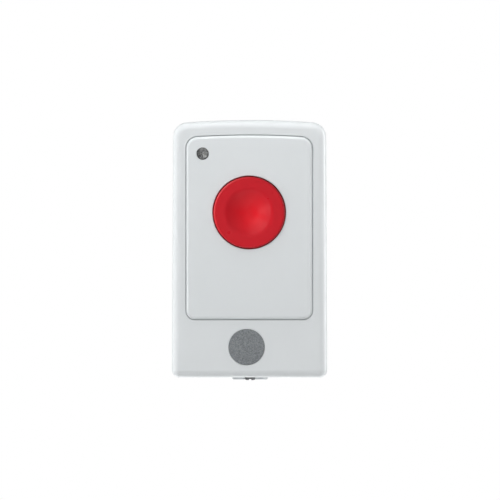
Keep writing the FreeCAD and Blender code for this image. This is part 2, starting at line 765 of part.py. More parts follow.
# ---------------------------------------------------------------- indicator
b = piece("led_window")
s = sketch_section(b, "WindowSection", led_at, d.led_z)
draw_section(
    s,
    [
        (20.3, 0.0),
        (20.3, 1.7),
        (19.3, 1.7),
        (19.3, d.window_flange_r),
        (d.panel_floor, d.window_flange_r),
        (d.panel_floor, d.window_r),
        (d.window_face, d.window_r),
        (d.window_top, 0.0),
    ],
    arcs=(6,),
)
f = turn(b, "Window", s)

b = piece("led_body")
s = sketch_section(b, "LampSection", led_at, d.led_z)
draw_section(
    s,
    [
        (d.led_low, 0.0),
        (d.led_low, d.led_flange_r),
        (d.led_low + 1.0, d.led_flange_r),
        (d.led_low + 1.0, d.led_r),
        (d.led_top - d.led_r, d.led_r),
        (d.led_top, 0.0),
    ],
    arcs=(4,),
)
f = turn(b, "Lamp", s)
for i, x in enumerate((-0.635, 0.635)):
    f = cut_block(b, f"LeadWell{i}", led_at + x, d.led_z, 0.5, 0.5, d.led_low - 0.5, 16.4)
f = cut_block(b, "CupWell", led_at - 0.5, d.led_z, 1.0, 0.9, 16.3, 17.4)

b = piece("led_leads")
for i, x in enumerate((-0.635, 0.635)):
    f = block(b, f"Lead{i}", led_at + x, d.led_z, 0.46, 0.46, 8.8, 16.36)
f = block(b, "Cup", led_at - 0.5, d.led_z, 0.96, 0.86, 16.3, 16.95)

# ---------------------------------------------------------------- push button
b = piece("panic_button")
s = sketch_section(b, "CapSection", d.button_x, d.button_z)
draw_section(
    s,
    [
        (d.cap_under, 0.0),
        (d.cap_under, d.seat_inner_r),
        (d.cap_under - 1.2, d.seat_inner_r),
        (d.cap_under - 1.2, d.seat_outer_r),
        (d.cap_under, d.seat_outer_r),
        (d.cap_under, d.skirt_inner_r),
        (d.flange_low, d.skirt_inner_r),
        (d.flange_low, d.flange_r),
        (d.flange_high, d.flange_r),
        (d.flange_high, d.cap_r),
        (d.cap_face, d.cap_r),
        (d.cap_face, d.dish_r),
        (d.dish_bowl, d.bowl_r),
        (d.dish_floor, 0.0),
    ],
    arcs=(12,),
)
f = turn(b, "Cap", s)
f = fillet(b, "CapRound", f, rim(f, d.cap_face, ring(d.cap_r, d.button_x, d.button_z)), d.cap_round)
f = fillet(b, "DishRound", f, rim(f, d.cap_face, ring(d.dish_r, d.button_x, d.button_z)), d.dish_round)
f = rod(b, "Stem", d.button_x, d.button_z, d.stem_r, d.stem_end, d.cap_under + 0.3)
for i, up in enumerate((13.9, -13.9)):
    f = cut_block(b, f"KeyWay{i}", d.button_x, d.button_z + up, 2.2, 1.8, d.flange_low - 0.2, d.flange_high + 0.0)

b = piece("return_spring")
s = sketch_section(b, "WireSection", d.button_x, d.button_z)
wire_end(s, -d.spring_low, d.spring_r, d.spring_wire)
f = coil(b, "Wire", s, d.spring_pitch, d.spring_rise)

# ---------------------------------------------------------------- key switch
b = piece("switch_base")
side = d.switch_half * 2
f = block(b, "Base", d.button_x, d.button_z, side, side, d.board_high, d.switch_top)
f = cut_rod(b, "Well", d.button_x, d.button_z, d.switch_well_r, d.switch_well_low, d.switch_top + 0.2)

b = piece("switch_cover")
f = block(b, "Plate", d.button_x, d.button_z, side, side, d.switch_top, d.switch_top + 0.3)
f = cut_rod(b, "PlateHole", d.button_x, d.button_z, d.plunger_r + 0.2, d.switch_top - 0.2, d.switch_top + 0.5)
for i, up in enumerate((3.13, -3.13)):
    f = block(b, f"Leg{i}", d.button_x, d.button_z + up, 4.0, 0.26, 12.6, d.switch_top + 0.3)

b = piece("switch_plunger")
f = rod(b, "Foot", d.button_x, d.button_z, d.plunger_flange_r, 14.15, d.switch_top - 0.05)
f = rod(b, "Rod", d.button_x, d.button_z, d.plunger_r, 14.5, d.stem_end)

b = piece("switch_dome")
s = sketch_section(b, "DomeSection", d.button_x, d.button_z)
draw_section(
    s,
    [
        (d.switch_well_low, 2.2),
        (d.switch_well_low, 2.35),
        (d.switch_well_low + 0.75, 0.0),
        (d.switch_well_low + 0.6, 0.0),
    ],
    arcs=(1, 3),
)
f = turn(b, "Dome", s)

b = piece("switch_spring")
s = sketch_section(b, "WireSection", d.button_x, d.button_z)
wire_end(s, -(d.switch_well_low + 0.95), 1.3, 0.14)
f = coil(b, "Wire", s, 0.42, 1.03)

b = piece("switch_terminals")
for i, (x, z) in enumerate(((3.35, 2.25), (3.35, -2.25), (-3.35, 2.25), (-3.35, -2.25))):
    f = block(b, f"Pin{i}", d.button_x + x, d.button_z + z, 0.3, 0.7, 8.8, 12.6)
    inward = -0.25 if x > 0 else 0.25
    f = block(b, f"Tab{i}", d.button_x + x + inward, d.button_z + z, 0.2, 0.7, 12.3, 12.6)

# ---------------------------------------------------------------- circuit board
b = piece("circuit_board")
f = block(
    b,
    "Board",
    0.0,
    (d.board_top - d.board_foot) / 2,
    d.board_half * 2,
    d.board_top + d.board_foot,
    d.board_low,
    d.board_high,
)
f = fillet(b, "BoardCorners", f, corners(f, d.board_low, d.board_high, lambda x, z: True), 2.0)
for i, (x, z) in enumerate(board_screws):
    f = cut_rod(b, f"ScrewHole{i}", x, z, d.board_screw_r + 0.1, 9.5, 12.0)
for i, x in enumerate((-0.635, 0.635)):
    f = cut_rod(b, f"LampHole{i}", led_at + x, d.led_z, 0.45, 9.5, 12.0)
for i, (x, z) in enumerate(((3.35, 2.25), (3.35, -2.25), (-3.35, 2.25), (-3.35, -2.25))):
    f = cut_rod(b, f"SwitchHole{i}", d.button_x + x, d.button_z + z, 0.55, 9.5, 12.0)

b = piece("pcb_screws")
for i, (x, z) in enumerate(board_screws):
    f = rod(b, f"Shank{i}", x, z, d.board_screw_r - 0.02, 9.5, 16.4)
    f = rod(b, f"Head{i}", x, z, d.board_head_r, 8.6, d.board_low)
    f = fillet(b, f"HeadRound{i}", f, rim(f, 8.6, ring(d.board_head_r, x, z)), 0.5)
    f = cut_block(b, f"CrossA{i}", x, z, 2.2, 0.5, 8.4, 9.3)
    f = cut_block(b, f"CrossB{i}", x, z, 0.5, 2.2, 8.4, 9.3)

b = piece("case_screw")
s = sketch_up(b, "ShankSketch", -d.screw_head_seat, d.screw_x, d.screw_depth)
draw_circle(s, d.screw_r)
f = pad(b, "Shank", s, d.screw_head_seat - d.screw_tip)
f = chamfer(b, "Tip", f, edges_of(f, lambda e, q: q.ZMin > -38.0), 0.5)
s = sketch_up(b, "HeadSketch", -d.screw_head_end, d.screw_x, d.screw_depth)
draw_circle(s, d.screw_head_r)
f = pad(b, "Head", s, d.screw_head_end - d.screw_head_seat)
f = fillet(b, "HeadRound", f, edges_of(f, lambda e, q: q.ZMax < -44.8), 0.3)
f = cut_block(b, "Slot", d.screw_x, -44.85, 0.9, 0.7, 8.0, 13.0)

# ---------------------------------------------------------------- cell and its contacts
cell_at = -d.cell_z
b = piece("cell_holder")
f = rod(b, "Floor", 0.0, cell_at, d.holder_outer_r, d.cell_high, d.board_low, inner=4.2)
f = rod(b, "Wall", 0.0, cell_at, d.holder_outer_r, 4.6, d.cell_high + 0.2, inner=d.holder_inner_r)
f = cut_block(b, "Mouth", 12.5, cell_at, 7.0, 14.0, 4.0, d.cell_high)
f = cut_block(b, "StrapGapUpper", 0.0, cell_at + 13.0, 6.6, 1.6, 4.0, 5.4)
f = cut_block(b, "StrapGapLower", 0.0, cell_at - 13.0, 6.6, 1.6, 4.0, 5.4)

b = piece("coin_cell")
s = sketch_section(b, "CellSection", 0.0, cell_at)
draw_section(
    s,
    [
        (d.cell_low, 0.0),
        (d.cell_low, d.cell_r - 0.4),
        (d.cell_low + 0.4, d.cell_r),
        (d.cell_high - 0.7, d.cell_r),
        (d.cell_high - 0.3, d.cell_r - 0.6),
        (d.cell_high - 0.4, d.cell_r - 1.2),
        (d.cell_high, d.cell_r - 1.6),
        (d.cell_high, 0.0),
    ],
)
f = turn(b, "Cell", s)

b = piece("positive_contact")
f = block(b, "Strap", 0.0, cell_at, 6.0, 27.8, d.cell_low - 0.3, d.cell_low)
f = block(b, "LegUpper", 0.0, cell_at + 13.75, 4.0, 0.3, d.cell_low - 0.3, d.board_low)
f = block(b, "LegLower", 0.0, cell_at - 13.75, 4.0, 0.3, d.cell_low - 0.3, d.board_low)

b = piece("negative_contact")
f = rod(b, "Disc", 0.0, cell_at, 3.8, d.cell_high, d.cell_high + 0.25)
f = block(b, "FootRight", 2.4, cell_at, 1.0, 1.6, d.cell_high + 0.2, d.board_low)
f = block(b, "FootLeft", -2.4, cell_at, 1.0, 1.6, d.cell_high + 0.2, d.board_low)

# ---------------------------------------------------------------- what the board carries in front
b = piece("controller_chip")
f = block(b, "Package", -9.0, -15.0, 9.0, 4.4, d.board_high + 0.12, 13.3)

b = piece("controller_leads")
f = block(b, "LeadUpper", -12.81, -12.3, 0.42, 1.0, d.board_high, 12.3)
f = repeat(b, "LeadsUpper", f, "H_Axis", 7, 1.27)
f = block(b, "LeadLower", -12.81, -17.7, 0.42, 1.0, d.board_high, 12.3)
f = repeat(b, "LeadsLower", f, "H_Axis", 7, 1.27)

b = piece("saw_resonator")
f = block(b, "Can", 9.0, -16.0, 5.0, 3.6, d.board_high, 13.0)
f = fillet(b, "CanCorners", f, corners(f, d.board_high, 13.0, lambda x, z: True), 0.6)

b = piece("crystal_can")
f = block(b, "Flange", 9.0, -24.0, 11.4, 5.0, d.board_high, 12.0)
f = fillet(b, "FlangeCorners", f, corners(f, d.board_high, 12.0, lambda x, z: True), 1.6)
f = block(b, "Can", 9.0, -24.0, 10.0, 3.8, 11.9, 15.2)
f = fillet(b, "CanCorners", f, corners(f, 12.0, 15.2, lambda x, z: True), 1.5)

b = piece("antenna_coil")
s = b.newObject("Sketcher::SketchObject", "WireSection")
s.AttachmentSupport = [(plane(b, "XZ_Plane"), "")]
s.MapMode = "FlatFace"
s.AttachmentOffset = FreeCAD.Placement(V(-7.0, 34.0, 14.09), FreeCAD.Rotation())
wire_end(s, 0.0, 2.1, 0.38)
f = coil(b, "Wire", s, 1.6, 16.0, reverse=False)

b = piece("chip_resistors")
f = block(b, "ChipUpper", -16.0, -22.0, 0.8, 1.6, d.board_high, 12.1)
f = repeat(b, "ChipsUpper", f, "H_Axis", 5, 2.4)
f = block(b, "ChipLower", -16.0, -25.2, 0.8, 1.6, d.board_high, 12.1)
f = repeat(b, "ChipsLower", f, "H_Axis", 5, 2.4)

b = piece("chip_capacitors")
f = block(b, "ChipUpper", 1.0, -8.0, 1.25, 2.0, d.board_high, 12.5)
f = repeat(b, "ChipsUpper", f, "H_Axis", 3, 2.8)
f = block(b, "ChipLower", -16.0, -8.0, 1.25, 2.0, d.board_high, 12.5)
f = repeat(b, "ChipsLower", f, "H_Axis", 3, 2.8)

b = piece("reservoir_capacitor")
f = block(b, "Base", 14.5, -7.0, 6.6, 6.6, d.board_high, 12.3)
f = rod(b, "Can", 14.5, -7.0, 3.15, 12.2, 17.0)
f = fillet(b, "CanRound", f, rim(f, 17.0), 0.4)

# ---------------------------------------------------------------- checks, then the files
doc.recompute()
for thing in doc.Objects:
    state = list(getattr(thing, "State", []))
    if "Invalid" in state or "Error" in state:
        raise RuntimeError(f"{thing.Label} ({thing.TypeId}) is {state}")
for body in pieces:
    before = None
    for thing in body.Group:
        kind = thing.TypeId
        if kind == "Sketcher::SketchObject":
            if not thing.FullyConstrained:
                raise RuntimeError(f"{body.Label}: {thing.Label} isn't fully constrained")
            continue
        volume = thing.Shape.Volume
        if before is not None:
            if kind == "PartDesign::Pocket" and volume > before - 1e-4:
                raise RuntimeError(f"{body.Label}: {thing.Label} cuts nothing")
            if kind == "PartDesign::Pad" and volume < before + 1e-4:
                raise RuntimeError(f"{body.Label}: {thing.Label} adds nothing")
        before = volume
    if body.Shape.isNull() or not body.Shape.isValid():
        raise RuntimeError(f"{body.Label} has no sound shape")
for body in pieces:
    body.Shape.exportStep(f"parts/{body.Label}.step")
    print(f"{body.Label}: {len(body.Shape.Solids)} solid(s), {body.Shape.Volume:.1f} mm3")
print(len(pieces), "pieces")
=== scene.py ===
import math

import bmesh
import bpy
import numpy as np
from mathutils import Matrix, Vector


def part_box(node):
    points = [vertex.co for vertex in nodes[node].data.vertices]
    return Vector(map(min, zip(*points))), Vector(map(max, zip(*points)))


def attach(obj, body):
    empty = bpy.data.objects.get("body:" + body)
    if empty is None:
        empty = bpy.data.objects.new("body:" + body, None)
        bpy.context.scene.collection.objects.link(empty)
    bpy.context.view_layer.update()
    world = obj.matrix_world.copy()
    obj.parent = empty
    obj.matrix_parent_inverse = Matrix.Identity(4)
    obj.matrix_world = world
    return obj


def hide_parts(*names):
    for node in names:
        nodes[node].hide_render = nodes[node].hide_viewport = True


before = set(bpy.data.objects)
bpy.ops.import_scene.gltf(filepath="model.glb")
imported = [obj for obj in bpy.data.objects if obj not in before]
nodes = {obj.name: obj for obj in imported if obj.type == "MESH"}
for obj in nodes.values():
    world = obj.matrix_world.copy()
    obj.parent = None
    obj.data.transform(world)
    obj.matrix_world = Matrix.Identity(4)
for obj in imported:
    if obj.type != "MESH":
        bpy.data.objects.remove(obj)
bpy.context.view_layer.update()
scene = bpy.context.scene
MM = 0.001


# ---------------------------------------------------------------- shader helpers

class Graph:
    """A small builder for one material's nodes. Patterns use Object coordinates, which are metres here."""

    def __init__(self, name):
        self.mat = bpy.data.materials.new(name)
        self.mat.use_nodes = True
        self.tree = self.mat.node_tree
        self.tree.nodes.clear()
        self.out = self.add("ShaderNodeOutputMaterial")
        self.coords = self.add("ShaderNodeTexCoord").outputs["Object"]

    def add(self, kind, **settings):
        node = self.tree.nodes.new(kind)
        for key, value in settings.items():
            setattr(node, key, value)
        return node

    def put(self, socket, value):
        if isinstance(value, bpy.types.NodeSocket):
            self.tree.links.new(value, socket)
        elif isinstance(value, (tuple, list)) and len(value) == 3 and socket.type == "RGBA":
            socket.default_value = (*value, 1.0)
        else:
            socket.default_value = value

    def math(self, operation, a, b=0.0, c=None, clamp=False):
        node = self.add("ShaderNodeMath", operation=operation, use_clamp=clamp)
        self.put(node.inputs[0], a)
        self.put(node.inputs[1], b)
        if c is not None:
            self.put(node.inputs[2], c)
        return node.outputs[0]

    def noise(self, scale, detail=2.0, rough=0.5, stretch=None, offset=(0, 0, 0), distortion=0.0):
        place = self.coords
        if stretch is not None or offset != (0, 0, 0):
            node = self.add("ShaderNodeMapping")
            self.put(node.inputs["Vector"], place)
            node.inputs["Location"].default_value = offset
            node.inputs["Scale"].default_value = stretch or (1, 1, 1)
            place = node.outputs["Vector"]
        node = self.add("ShaderNodeTexNoise")
        self.put(node.inputs["Vector"], place)
        node.inputs["Scale"].default_value = scale
        node.inputs["Detail"].default_value = detail
        node.inputs["Roughness"].default_value = rough
        node.inputs["Distortion"].default_value = distortion
        return node.outputs["Fac"]

    def cells(self, scale, feature="F1", output="Distance", randomness=1.0):
        node = self.add("ShaderNodeTexVoronoi", feature=feature)
        self.put(node.inputs["Vector"], self.coords)
        node.inputs["Scale"].default_value = scale
        node.inputs["Randomness"].default_value = randomness
        return node.outputs[output]

    def spread(self, value, low, high, from_low=0.0, from_high=1.0):
        node = self.add("ShaderNodeMapRange")
        self.put(node.inputs["Value"], value)
        node.inputs["From Min"].default_value = from_low
        node.inputs["From Max"].default_value = from_high
        node.inputs["To Min"].default_value = low
        node.inputs["To Max"].default_value = high
        return node.outputs["Result"]

    def mix(self, factor, a, b):
        node = self.add("ShaderNodeMix", data_type="RGBA")
        self.put(node.inputs["Factor"], factor)
        self.put(node.inputs[6], a)
        self.put(node.inputs[7], b)
        return node.outputs[2]

    def axis(self, which):
        node = self.add("ShaderNodeSeparateXYZ")
        self.put(node.inputs[0], self.coords)
        return node.outputs[which]

    def bump(self, height, distance, strength=1.0, under=None):
        node = self.add("ShaderNodeBump")
        node.inputs["Strength"].default_value = strength
        node.inputs["Distance"].default_value = distance
        self.put(node.inputs["Height"], height)
        if under is not None:
            self.put(node.inputs["Normal"], under)
        return node.outputs["Normal"]

    def shader(self, color, roughness, normal=None, **fixed):
        node = self.add("ShaderNodeBsdfPrincipled")
        self.put(node.inputs["Base Color"], color)
        self.put(node.inputs["Roughness"], roughness)
        if normal is not None:
            self.put(node.inputs["Normal"], normal)
        for key, value in fixed.items():
            self.put(node.inputs[key.replace("_", " ")], value)
        self.tree.links.new(node.outputs[0], self.out.inputs["Surface"])
        return self.mat


def shade(color, amount):
    return tuple(max(0.0, min(1.0, c * amount)) for c in color)


# ---------------------------------------------------------------- finishes

def moulded(name, color, grain=0.00022, depth=0.000006, rough=0.42, flow=0.012, ior=1.5):
    """Injection-moulded plastic: a fine eroded grain, soft clouding and a slight change of gloss."""
    g = Graph(name)
    cloud = g.noise(38.0, 3.0, 0.55)
    speck = g.noise(2600.0, 2.0, 0.6, offset=(3.1, 1.7, 4.2))
    tone = g.math("ADD", g.math("MULTIPLY", cloud, 0.8), g.math("MULTIPLY", speck, 0.2))
    base = g.mix(g.spread(tone, 0.0, 1.0, 0.3, 0.7), shade(color, 1 - flow), shade(color, 1 + flow))
    fine = g.noise(1.0 / grain, 2.0, 0.55)
    wave = g.noise(95.0, 2.0, 0.4, offset=(0.4, 2.3, 1.1))
    normal = g.bump(fine, depth, 1.0, under=g.bump(wave, 0.00003, 0.6))
    gloss = g.spread(g.noise(150.0, 3.0, 0.6, offset=(5.2, 0.3, 2.9)), rough - 0.04, rough + 0.04, 0.3, 0.7)
    return g.shader(base, gloss, normal, IOR=ior)


def red_with_painted_light_and_shade(name, color, rough=0.32, ior=1.46):
    """Smooth red plastic with painted light and shade: the base colour is painted brighter towards the middle of the
    thumb's dish and deeper red towards its walls and the flat rim round it, though the cap is moulded in one red.
    """
    g = Graph(name)
    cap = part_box("panic_button")
    middle = (cap[0] + cap[1]) / 2
    across = g.math("SUBTRACT", g.axis(0), middle.x)
    up = g.math("SUBTRACT", g.axis(2), middle.z)
    away = g.math("SQRT", g.math("ADD", g.math("MULTIPLY", across, across), g.math("MULTIPLY", up, up)))
    wander = g.math("MULTIPLY", g.math("SUBTRACT", g.noise(420.0, 2.0, 0.5), 0.5), 0.0009)
    # painted light and shade: this mask blends the painted bright red of the dish middle into the painted deeper red
    # of the walls and rim; it also sets the gloss and grain
    ring = g.add("ShaderNodeMapRange", interpolation_type="SMOOTHSTEP")
    g.put(ring.inputs["Value"], g.math("ADD", away, wander))
    ring.inputs["From Min"].default_value = 0.0015
    ring.inputs["From Max"].default_value = 0.0088
    ring = ring.outputs["Result"]
    cloud = g.noise(90.0, 3.0, 0.5)
    # painted light: the brighter red in the dish; painted shade: the deeper red on the walls and rim
    dish = g.mix(g.spread(cloud, 0.0, 1.0, 0.3, 0.7), shade(color, 0.985), shade(color, 1.015))
    rim = g.mix(g.spread(cloud, 0.0, 1.0, 0.3, 0.7), shade(RIM_RED_PAINTED_SHADE, 0.98), shade(RIM_RED_PAINTED_SHADE, 1.02))
    base = g.mix(ring, dish, rim)
    marks = g.noise(900.0, 2.0, 0.6, stretch=(1.0, 1.0, 0.08), distortion=0.3)
    smear = g.noise(210.0, 1.5, 0.35, offset=(1.9, 2.2, 0.7))
    gloss = g.math("ADD", g.spread(smear, rough - 0.012, rough + 0.016, 0.2, 0.8), g.spread(marks, 0.0, 0.005, 0.3, 0.8))
    gloss = g.math("SUBTRACT", gloss, g.math("MULTIPLY", ring, 0.04))
    wave = g.noise(240.0, 2.0, 0.45, offset=(2.0, 0.2, 3.3))
    grain = g.math("MULTIPLY", g.noise(4200.0, 2.0, 0.55), g.spread(ring, 0.25, 0.5))
    normal = g.bump(grain, 0.000005, 1.0, under=g.bump(wave, 0.000008, 0.7))
    return g.shader(base, gloss, normal, IOR=ior)


def flecked(name, color, dark, light, rough=0.36):
    """Satin insert with a fine metallic fleck."""
    g = Graph(name)
    fleck = g.cells(3400.0, output="Distance")
    tint = g.noise(1500.0, 2.0, 0.6)
    tone = g.math("ADD", g.math("MULTIPLY", g.spread(fleck, 1.0, 0.0, 0.0, 0.9), 0.45), g.math("MULTIPLY", tint, 0.55))
    ramp = g.add("ShaderNodeValToRGB")
    g.put(ramp.inputs["Fac"], g.spread(tone, 0.0, 1.0, 0.25, 0.75))
    bands = ramp.color_ramp.elements
    bands[0].position, bands[0].color = 0.0, (*dark, 1)
    bands[1].position, bands[1].color = 1.0, (*light, 1)
    middle = bands.new(0.5)
    middle.color = (*color, 1)
    cloud = g.noise(120.0, 3.0, 0.5, offset=(1.0, 6.0, 2.0))
    base = g.mix(g.spread(cloud, 0.0, 0.18, 0.3, 0.7), ramp.outputs["Color"], shade(color, 0.86))
    gloss = g.spread(tone, rough - 0.06, rough + 0.08, 0.3, 0.7)
    normal = g.bump(tone, 0.000008, 1.0)
    return g.shader(base, gloss, normal, IOR=1.5, Metallic=0.25)


def clear(name, color, ior, rough=0.02, flow=0.02, haze=0.0):
    """Clear moulded plastic with faint ripples from the mould and, where it is hazy, clouds of it."""
    g = Graph(name)
    cloud = g.noise(320.0, 2.0, 0.5)
    base = g.mix(g.spread(cloud, 0.0, 1.0, 0.3, 0.7), shade(color, 1 - flow), color)
    gloss = g.spread(g.noise(1300.0, 3.0, 0.6), rough, rough + 0.05, 0.35, 0.75)
    normal = g.bump(g.noise(900.0, 2.0, 0.5, offset=(0.7, 0.1, 5.0)), 0.000006, 0.8)
    if haze:
        milk = g.spread(g.noise(1500.0, 2.0, 0.6, offset=(3.0, 0.4, 1.2)), 1 - haze * 2.2, 1 - haze * 0.1, 0.36, 0.64)
        return g.shader(base, gloss, normal, IOR=ior, Transmission_Weight=milk)
    return g.shader(base, gloss, normal, IOR=ior, Transmission_Weight=1.0)


def metal(name, color, rough=0.28, grain=(1, 1, 1), scale=2600.0, depth=0.000003, dull=0.82, patch=260.0):
    """Bare or plated metal: drawn or rolled streaks along one axis, cloudy plating and duller patches."""
    g = Graph(name)
    streak = g.noise(scale, 3.0, 0.6, stretch=grain)
    cloud = g.noise(patch, 4.0, 0.6, offset=(4.0, 1.0, 0.5))
    tone = g.math("ADD", g.math("MULTIPLY", streak, 0.4), g.math("MULTIPLY", cloud, 0.6))
    base = g.mix(g.spread(tone, 0.0, 1.0, 0.32, 0.68), shade(color, dull), color)
    gloss = g.spread(tone, rough + 0.1, rough - 0.06, 0.3, 0.7)
    return g.shader(base, gloss, g.bump(streak, depth), Metallic=1.0)


def laminate(name):
    """Circuit board: green solder mask over copper tracks, with the glass weave just showing."""
    g = Graph(name)
    wander = g.noise(260.0, 1.0, 0.3)
    x, z = g.axis(0), g.axis(2)
    bend = g.math("MULTIPLY", wander, 0.0009)

    def tracks(position, pitch, share):
        wave = g.math("FRACT", g.math("DIVIDE", g.math("ADD", position, bend), pitch))
        return g.math("LESS_THAN", wave, share)

    patches = g.cells(150.0, feature="F1", output="Color")
    split = g.add("ShaderNodeSeparateColor")
    g.put(split.inputs[0], patches)
    upright = g.math("GREATER_THAN", split.outputs[0], 0.55)
    level = g.math("LESS_THAN", split.outputs[0], 0.3)
    lines = g.math("MAXIMUM", g.math("MULTIPLY", tracks(x, 0.0009, 0.38), upright), g.math("MULTIPLY", tracks(z, 0.0009, 0.38), level))
    weave = g.math("MULTIPLY", g.math("SINE", g.math("MULTIPLY", x, 9000.0)), g.math("SINE", g.math("MULTIPLY", z, 9000.0)))
    mask = g.mix(lines, (0.012, 0.095, 0.04), (0.035, 0.21, 0.085))
    mask = g.mix(g.spread(weave, 0.0, 0.12, -1.0, 1.0), mask, (0.05, 0.16, 0.07))
    base = g.mix(g.spread(g.noise(90.0, 3.0, 0.5), 0.0, 0.2, 0.3, 0.7), mask, (0.006, 0.06, 0.025))
    height = g.math("ADD", lines, g.math("MULTIPLY", weave, 0.08))
    gloss = g.spread(g.noise(700.0, 2.0, 0.6), 0.22, 0.36, 0.3, 0.7)
    return g.shader(base, gloss, g.bump(height, 0.00003), IOR=1.52)


def ceramic(name, color):
    """Small fired part with a speckled body."""
    g = Graph(name)
    speck = g.noise(5200.0, 3.0, 0.65)
    base = g.mix(g.spread(speck, 0.0, 1.0, 0.35, 0.65), shade(color, 0.82), shade(color, 1.12))
    gloss = g.spread(g.noise(1900.0, 2.0, 0.5), 0.35, 0.55, 0.3, 0.7)
    return g.shader(base, gloss, g.bump(speck, 0.000006), IOR=1.6)


# painted shade: the deeper red of the button's flat rim; the cap is moulded in one red
RIM_RED_PAINTED_SHADE = (0.71, 0.009, 0.021)

FINISH = {
    "case_white": moulded("case_white_plastic", (0.798, 0.83, 0.843)),
    "case_rear_white": moulded("rear_white_plastic", (0.788, 0.818, 0.83), grain=0.0003, depth=0.000012, rough=0.5),
    "panel_white": moulded("panel_white_plastic", (0.798, 0.832, 0.846), grain=0.00018, depth=0.000003, rough=0.36, flow=0.008),
    "badge_grey": flecked("badge_grey_insert", (0.300, 0.320, 0.335), (0.19, 0.205, 0.215), (0.42, 0.445, 0.465)),
    # the button's bright dish red is painted light, blended into the painted shade of the rim
    "button_red": red_with_painted_light_and_shade("button_red_plastic_painted_light_and_shade", (0.92, 0.008, 0.020)),
    "clear_lens": clear("window_clear_plastic", (0.86, 0.87, 0.87), 1.49, rough=0.04, haze=0.11),
    "lamp_epoxy": clear("lamp_clear_epoxy", (0.9, 0.91, 0.9), 1.53, rough=0.02),
    "plated_steel": metal("zinc_plated_steel", (0.66, 0.67, 0.69), rough=0.3, dull=0.78),
    "screw_steel": metal("dark_zinc_screw", (0.40, 0.40, 0.41), rough=0.34, scale=3000.0, dull=0.7),
    "spring_steel": metal("drawn_spring_wire", (0.55, 0.56, 0.58), rough=0.26, scale=5200.0, dull=0.74),
    "tinned_copper": metal("tinned_leads", (0.72, 0.72, 0.70), rough=0.3, scale=3600.0, dull=0.86),
    "board_green": laminate("board_laminate"),
    "black_plastic": moulded("black_moulded_plastic", (0.022, 0.022, 0.024), grain=0.00016, depth=0.000007, rough=0.46, flow=0.15),
    "cell_steel": metal("nickel_plated_steel", (0.70, 0.70, 0.69), rough=0.2, grain=(1, 1, 0.05), scale=1500.0, dull=0.88),
    "can_aluminium": metal("drawn_aluminium", (0.80, 0.80, 0.80), rough=0.32, grain=(0.06, 1, 1), scale=2200.0, dull=0.85),
    "chip_ceramic": ceramic("fired_ceramic", (0.5, 0.36, 0.22)),
    "chip_black": ceramic("film_resistor", (0.035, 0.036, 0.04)),
    "enamelled_copper": metal("enamelled_copper_wire", (0.72, 0.27, 0.11), rough=0.22, scale=4200.0, dull=0.8),
}

for node in nodes.values():
    for holder in node.material_slots:
        holder.material = FINISH[holder.material.name.split(".")[0]]


# ---------------------------------------------------------------- the lamp behind the window

def add_piece(name, bm, finish, body="root", stands_for=()):
    """Makes a mesh piece from bm, which is in millimetres as (x, -depth, z)."""
    bmesh.ops.recalc_face_normals(bm, faces=bm.faces)
    bmesh.ops.scale(bm, vec=(MM, MM, MM), verts=bm.verts)
    mesh = bpy.data.meshes.new(name)
    bm.to_mesh(mesh)
    bm.free()
    for face in mesh.polygons:
        face.use_smooth = True
    mesh.materials.append(finish)
    made = bpy.data.objects.new(name, mesh)
    scene.collection.objects.link(made)
    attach(made, body)
    if stands_for:
        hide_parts(*stands_for)
    return made


def rings(bm, outline, closed_start=True, closed_end=True):
    """Joins rings of points, each a list of (x, depth, z), with quads. A ring of one point is a pole."""
    made = [[bm.verts.new((x, -depth, z)) for x, depth, z in ring] for ring in outline]
    for a, b in zip(made, made[1:]):
        count = max(len(a), len(b))
        for i in range(count):
            j = (i + 1) % count
            if len(a) == 1:
                bm.faces.new((a[0], b[i], b[j]))
            elif len(b) == 1:
                bm.faces.new((a[i], a[j], b[0]))
            else:
                bm.faces.new((a[i], a[j], b[j], b[i]))
    if closed_start and len(made[0]) > 1:
        bm.faces.new(made[0])
    if closed_end and len(made[-1]) > 1:
        bm.faces.new(made[-1])


def circle(x, z, radius, depth, count=48):
    if radius == 0:
        return [(x, depth, z)]
    return [
        (x + radius * math.cos(2 * math.pi * i / count), depth, z + radius * math.sin(2 * math.pi * i / count))
        for i in range(count)
    ]


def squarish(x, z, half_x, half_z, depth, count=32, power=8.0):
    """A rounded rectangle with the same number of points as a circle, so that the two can be joined."""
    points = []
    for i in range(count):
        c, s = math.cos(2 * math.pi * i / count), math.sin(2 * math.pi * i / count)
        reach = (abs(c) ** power + abs(s) ** power) ** (-1.0 / power)
        points.append((x + half_x * c * reach, depth, z + half_z * s * reach))
    return points


def round_off(mesh_object, width, segments=2, angle=35.0):
    bevel = mesh_object.modifiers.new("edges", "BEVEL")
    bevel.width = width * MM
    bevel.segments = segments
    bevel.limit_method = "ANGLE"
    bevel.angle_limit = math.radians(angle)
    bevel.harden_normals = False
    smooth = mesh_object.modifiers.new("normals", "WEIGHTED_NORMAL")
    smooth.keep_sharp = True


lamp_low, lamp_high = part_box("led_body")
lamp_x = (lamp_low.x + lamp_high.x) / 2 / MM
lamp_z = (lamp_low.z + lamp_high.z) / 2 / MM
lamp_tip, lamp_base = -lamp_low.y / MM, -lamp_high.y / MM
lamp_wide = (lamp_high.x - lamp_low.x) / 2 / MM
dome = 1.5

# epoxy body: flange, barrel and dome
bm = bmesh.new()
barrel_top = lamp_tip - dome
profile = [(0.0, lamp_base), (lamp_wide - 0.12, lamp_base), (lamp_wide, lamp_base + 0.12), (lamp_wide, lamp_base + 0.88),
           (lamp_wide - 0.1, lamp_base + 1.0), (dome + 0.06, lamp_base + 1.0), (dome, lamp_base + 1.06), (dome, barrel_top)]
profile += [(dome * math.cos(math.radians(a)), barrel_top + dome * math.sin(math.radians(a))) for a in range(6, 90, 6)]
profile += [(0.0, lamp_tip)]
rings(bm, [circle(lamp_x, lamp_z, r, depth) for r, depth in profile])
lamp_body = add_piece("lamp_dome", bm, FINISH["lamp_epoxy"], stands_for=("led_body",))
sharp = lamp_body.modifiers.new("normals", "WEIGHTED_NORMAL")
sharp.keep_sharp = True

